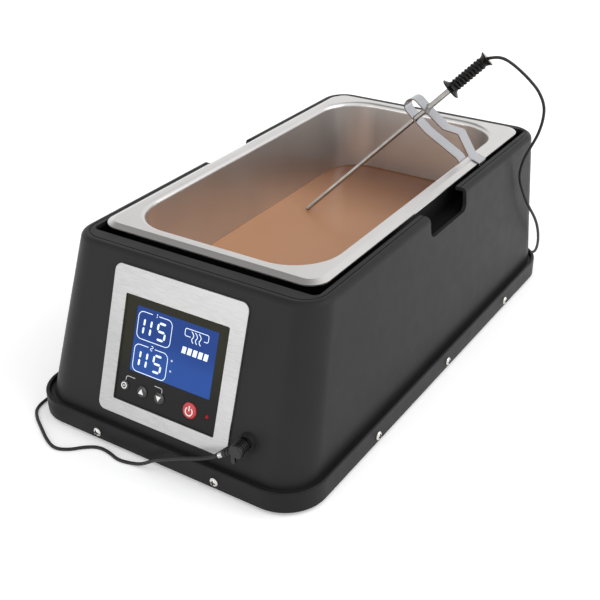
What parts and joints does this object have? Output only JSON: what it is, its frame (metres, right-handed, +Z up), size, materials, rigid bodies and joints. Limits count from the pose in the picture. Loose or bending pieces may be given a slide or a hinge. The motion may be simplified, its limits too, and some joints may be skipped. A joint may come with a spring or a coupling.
{
  "type": "chocolate melter",
  "caption": "Countertop chocolate melter: moulded housing on a tray, heated well with a lift-out pan, front display and buttons, and a clipped temperature probe on a cord.",
  "frame": {"origin": "on the table under the middle of the base", "axes": "+X right, -Y front with the panel, +Z up"},
  "size_m": [0.2611, 0.4689, 0.2177],
  "materials": {
    "housing": "satin moulded",
    "tray": "satin moulded",
    "collar": "matte",
    "stainless": "satin",
    "bezel": "brushed, horizontal grain",
    "clip": "satin",
    "probe_metal": "polished",
    "chocolate": null,
    "aluminium": "drawn",
    "heater": "silicone",
    "blanket": "ceramic fibre",
    "zinc": "zinc-plated sheet",
    "ceramic": "moulded",
    "fascia": "smooth printed",
    "lcd_glass": "smooth, lit blue",
    "lcd_case": "moulded",
    "board": "solder mask",
    "switch": "moulded",
    "button_black": "smooth",
    "button_red": "smooth",
    "led_red": "translucent",
    "jack": "smooth",
    "black_metal": "black oxide",
    "plug": "moulded",
    "gold": "plated",
    "ferrule": "polished",
    "handle": "smooth ribbed",
    "cord": "smooth",
    "inlet": "moulded",
    "screw": "nickel-plated",
    "screw_dark": "black zinc",
    "foot": "matte",
    "standoff": "nylon",
    "transformer": "laminated",
    "relay": "smooth",
    "capacitor": "sleeved",
    "terminal": "moulded"
  },
  "bodies": {
    "housing": {"housing_shell": "housing", "base_tray": "tray", "well_collar": "collar", "heating_well": "aluminium", "heater_band": "heater", "heater_mat": "heater", "insulation_blanket": "blanket", "support_cradle": "zinc", "thermal_cutout": "ceramic", "well_sensor": "ceramic", "bezel_plate": "bezel", "fascia_panel": "fascia", "lcd_window": "lcd_glass", "lcd_module": "lcd_case", "display_board": "board", "button_switches": "switch", "power_led": "led_red", "probe_jack": "jack", "jack_nut": "black_metal", "probe_cord": "cord", "power_inlet": "inlet", "inlet_screws": "screw_dark", "skirt_screws": "screw", "collar_screws": "screw_dark", "foot_front_left": "foot", "foot_front_right": "foot", "foot_rear_left": "foot", "foot_rear_right": "foot", "foot_screws": "screw_dark", "power_board": "board", "board_standoffs": "standoff", "board_screws": "screw_dark", "display_screws": "screw_dark", "transformer": "transformer", "relays": "relay", "capacitors": "capacitor", "terminal_block": "terminal"},
    "pan": {"food_pan": "stainless", "melted_chocolate": "chocolate"},
    "clip": {"probe_clip": "clip"},
    "probe": {"probe_rod": "probe_metal", "probe_sleeve": "probe_metal", "probe_handle": "handle"},
    "plug": {"plug_body": "plug", "plug_pin": "gold", "cord_ferrule": "ferrule"},
    "button_settings": {"button_settings": "button_black"},
    "button_up": {"button_up": "button_black"},
    "button_down": {"button_down": "button_black"},
    "button_start_stop": {"button_start_stop": "button_red"}
  },
  "joints": [
    {"name": "pan_lift", "type": "slide", "parent": "housing", "child": "pan", "axis": [0, 0, 1], "range_m": [0, 0.11], "deforming": ["probe_cord"]},
    {"name": "clip_lift", "type": "slide", "parent": "pan", "child": "clip", "axis": [0, 0, 1], "range_m": [0, 0.03], "deforming": ["probe_cord"]},
    {"name": "probe_slide", "type": "slide", "parent": "clip", "child": "probe", "axis": [0.6383, 0.3651, 0.6777], "range_m": [0, 0.1], "deforming": ["probe_cord"]},
    {"name": "plug_pull", "type": "slide", "parent": "housing", "child": "plug", "axis": [0, -1, 0], "range_m": [0, 0.015], "deforming": ["probe_cord"]},
    {"name": "press_settings", "type": "slide", "parent": "housing", "child": "button_settings", "axis": [0, 0.9461, -0.3239], "range_m": [0, 0.0007], "stiffness_N_per_m": 500, "springref_m": -0.001},
    {"name": "press_up", "type": "slide", "parent": "housing", "child": "button_up", "axis": [0, 0.9461, -0.3239], "range_m": [0, 0.0007], "stiffness_N_per_m": 500, "springref_m": -0.001},
    {"name": "press_down", "type": "slide", "parent": "housing", "child": "button_down", "axis": [0, 0.9461, -0.3239], "range_m": [0, 0.0007], "stiffness_N_per_m": 500, "springref_m": -0.001},
    {"name": "press_start_stop", "type": "slide", "parent": "housing", "child": "button_start_stop", "axis": [0, 0.9461, -0.3239], "range_m": [0, 0.0007], "stiffness_N_per_m": 500, "springref_m": -0.001}
  ]
}
